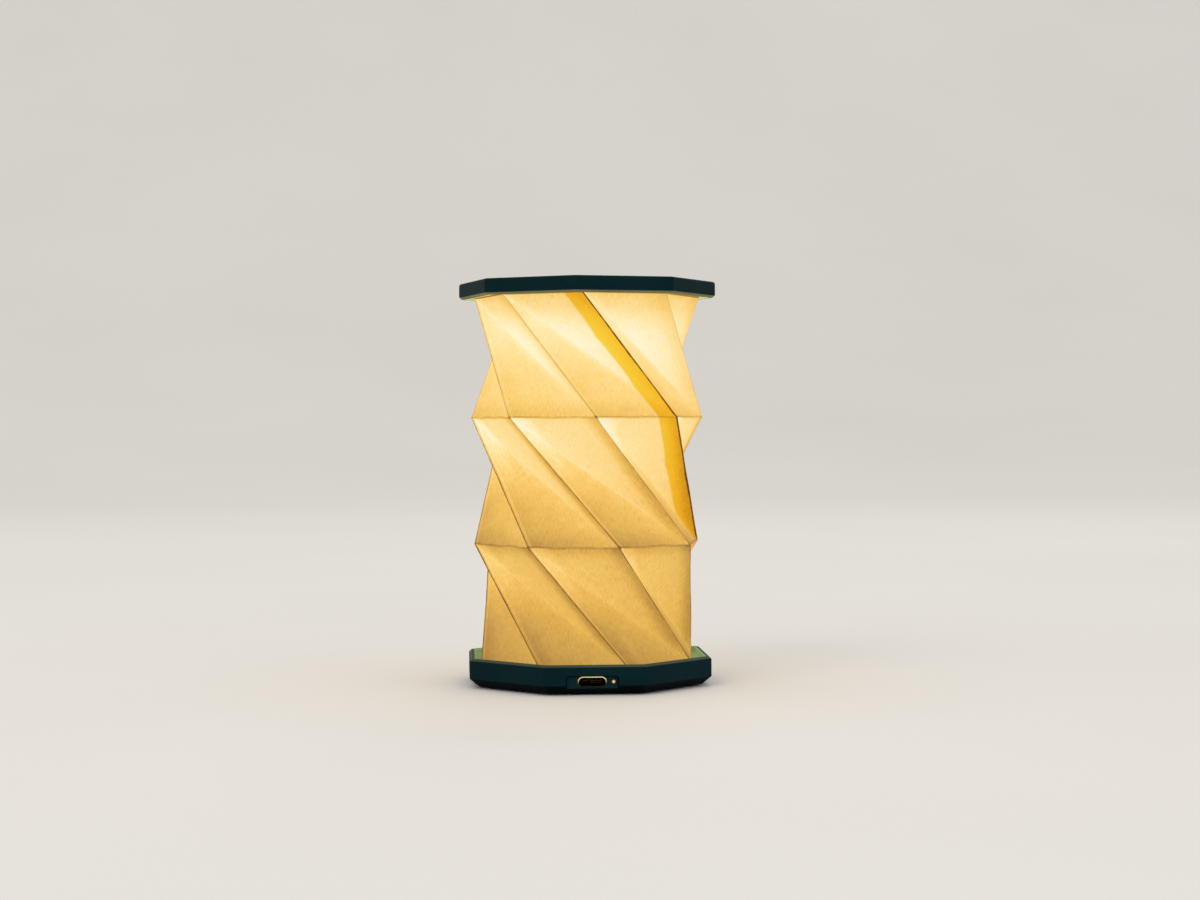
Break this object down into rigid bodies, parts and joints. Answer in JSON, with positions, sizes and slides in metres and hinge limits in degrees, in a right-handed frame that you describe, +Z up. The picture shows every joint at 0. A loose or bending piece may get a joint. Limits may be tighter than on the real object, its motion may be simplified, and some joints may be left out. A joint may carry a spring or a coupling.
{
  "type": "folding paper table lamp",
  "caption": "Cordless octagonal table lamp: a base tray and a lid joined by a folded paper bellows that twists flat, with a charging socket in the base.",
  "frame": {"origin": "on the ground under the middle of the base", "axes": "+Z up; the charging socket faces -Y"},
  "size_m": [0.082, 0.082, 0.1288],
  "materials": {
    "teal_plastic": "satin",
    "dark_teal_plastic": "matte",
    "black_rubber": "matte",
    "screw_steel": "satin",
    "socket_steel": "polished",
    "black_plastic": "matte",
    "gold_contacts": "polished",
    "amber_lens": "gloss",
    "green_board": "satin",
    "silver_pouch": "satin",
    "red_lead": "satin",
    "white_plastic": "matte",
    "led_board_metal": "matte",
    "warm_leds": "gloss",
    "clear_lens": "gloss",
    "magnet_steel": "polished",
    "white_card": "matte",
    "cream_paper": "matte",
    "seam_paper": "matte"
  },
  "bodies": {
    "base": {"base_tray": "teal_plastic", "bottom_cover": "dark_teal_plastic", "foot_pad": "black_rubber", "cover_screws": "screw_steel", "usb_c_shell": "socket_steel", "usb_c_tongue": "black_plastic", "usb_c_contacts": "gold_contacts", "charge_indicator": "amber_lens", "control_board": "green_board", "board_screws": "screw_steel", "board_components": "black_plastic", "hall_switch": "black_plastic", "battery_pouch": "silver_pouch", "battery_tape": "black_rubber", "battery_leads": "red_lead", "battery_plug": "white_plastic", "led_board": "led_board_metal", "led_chips": "warm_leds", "led_pins": "gold_contacts", "beam_lens": "clear_lens", "base_magnets": "magnet_steel", "lower_paper_ring": "white_card"},
    "shade": {"paper_shade": "cream_paper", "seam_strip": "seam_paper"},
    "lid": {"lid_shell": "teal_plastic", "lid_reflector": "white_plastic", "lid_magnets": "magnet_steel", "switch_magnet": "magnet_steel", "upper_paper_ring": "white_card"}
  },
  "joints": [
    {"name": "fold_twist", "type": "hinge", "parent": "base", "child": "shade", "pos_m": [0, 0, 0], "axis": [0, 0, -1], "range_deg": [0, 104.43]},
    {"name": "fold_lift", "type": "slide", "parent": "shade", "child": "lid", "axis": [0, 0, -1], "range_m": [0, 0.114], "deforming": ["paper_shade", "seam_strip"]}
  ],
  "couplings": [
    {"joint": "fold_twist", "follows": "fold_lift", "rad_per_m": 15.988}
  ]
}
